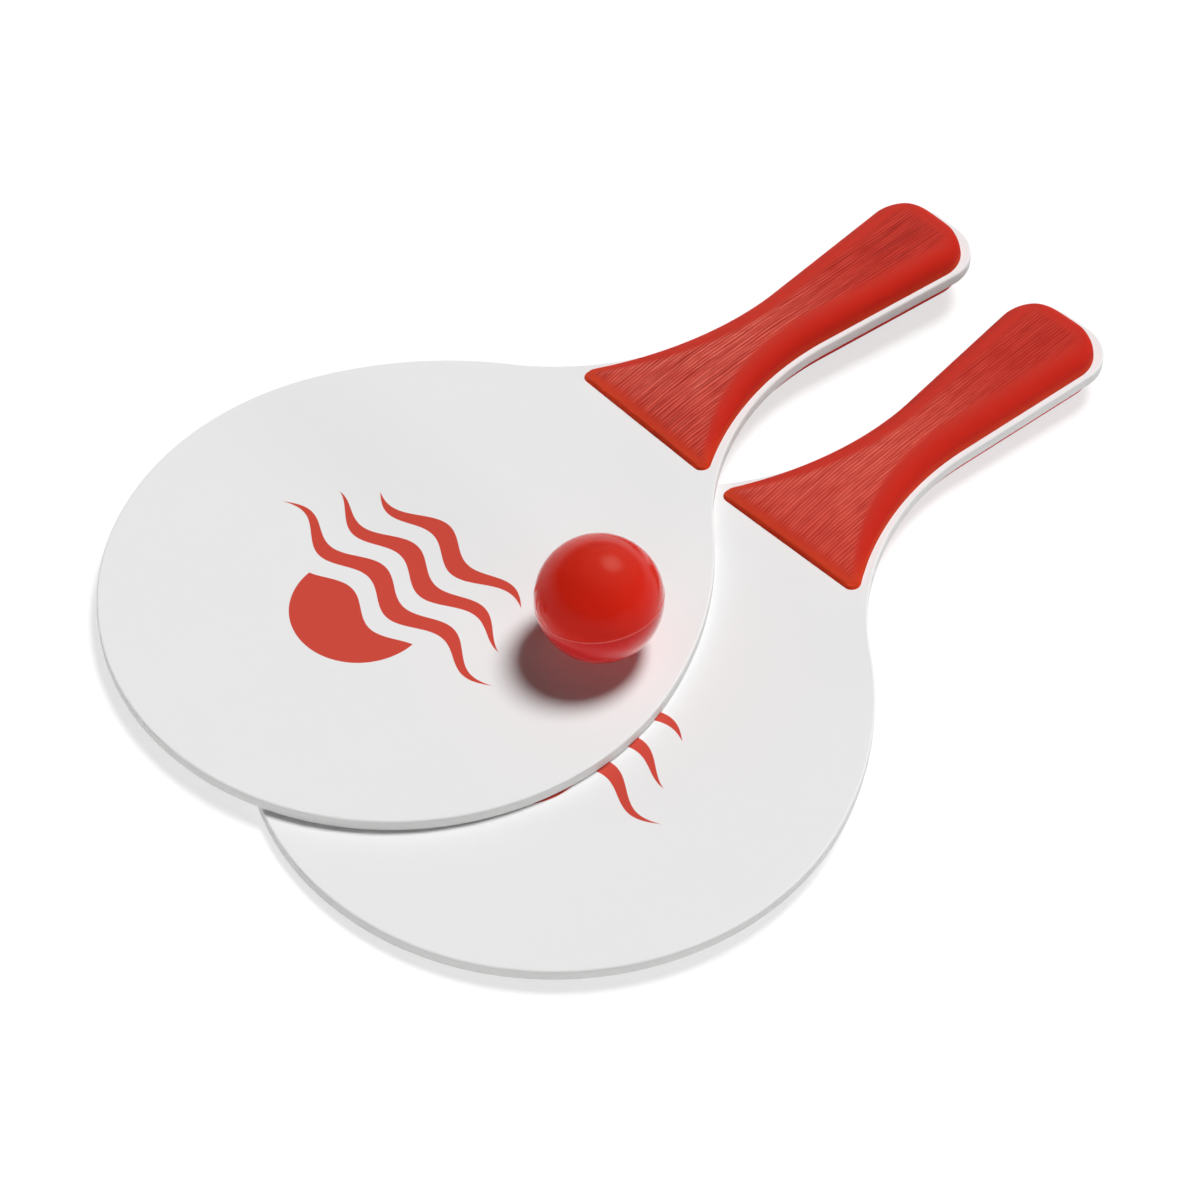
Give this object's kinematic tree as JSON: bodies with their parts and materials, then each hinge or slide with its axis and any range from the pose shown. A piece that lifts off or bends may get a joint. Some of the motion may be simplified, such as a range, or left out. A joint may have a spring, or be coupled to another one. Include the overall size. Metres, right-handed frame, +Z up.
{
  "type": "beach tennis set",
  "caption": "Beach tennis set: flat round-bladed paddles with moulded half-shell grips, laid overlapping, and a hollow seamed ball resting on the upper blade.",
  "frame": {"origin": "middle of the set's footprint, on the floor", "axes": "+Y along the handles, away from the blades; +Z up; the upper paddle lies towards -X"},
  "size_m": [0.2571, 0.3337, 0.0526],
  "materials": {
    "board_white": "white lacquer, satin",
    "grip_red": "moulded, fine grain along the grip",
    "ball_red": "smooth, slightly translucent"
  },
  "bodies": {
    "lower_paddle": {"lower_board": "board_white", "lower_front_grip": "grip_red", "lower_back_grip": "grip_red"},
    "upper_paddle": {"upper_board": "board_white", "upper_front_grip": "grip_red", "upper_back_grip": "grip_red"},
    "ball": {"ball_lower_half": "ball_red", "ball_upper_half": "ball_red"}
  },
  "joints": [
    {"name": "upper_paddle_lift", "type": "slide", "parent": "lower_paddle", "child": "upper_paddle", "axis": [0, 0, 1], "range_m": [0, 0.2]},
    {"name": "ball_lift", "type": "slide", "parent": "upper_paddle", "child": "ball", "axis": [0, 0, 1], "range_m": [0, 0.15]}
  ]
}
